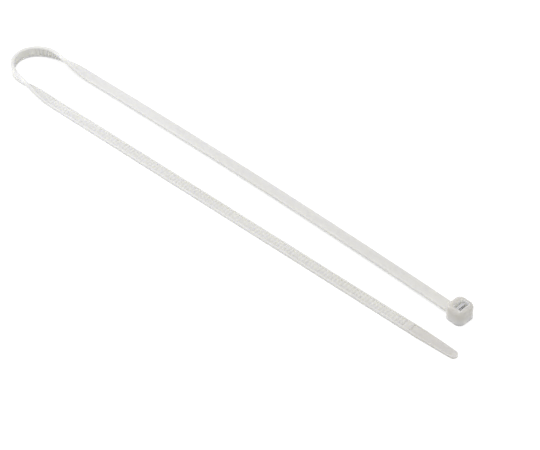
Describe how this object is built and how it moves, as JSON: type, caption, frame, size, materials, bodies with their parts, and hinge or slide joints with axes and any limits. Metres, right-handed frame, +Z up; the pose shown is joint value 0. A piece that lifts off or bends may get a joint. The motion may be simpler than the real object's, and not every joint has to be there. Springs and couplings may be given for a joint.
{
  "type": "cable tie",
  "caption": "Natural nylon cable tie with a toothed strap and a one-piece ratchet head, lying folded back on itself.",
  "frame": {"origin": "centre of the strap's passage through the head, on the head's entry face, which rests on the surface", "axes": "+X from the fold towards the head and the tip, +Z up through the passage, the way the strap leaves it"},
  "size_m": [0.1847, 0.0254, 0.005],
  "materials": {
    "natural_nylon": "milky, slightly translucent moulded nylon with a satin surface"
  },
  "bodies": {
    "root": {"cable_tie": "natural_nylon"}
  },
  "joints": []
}
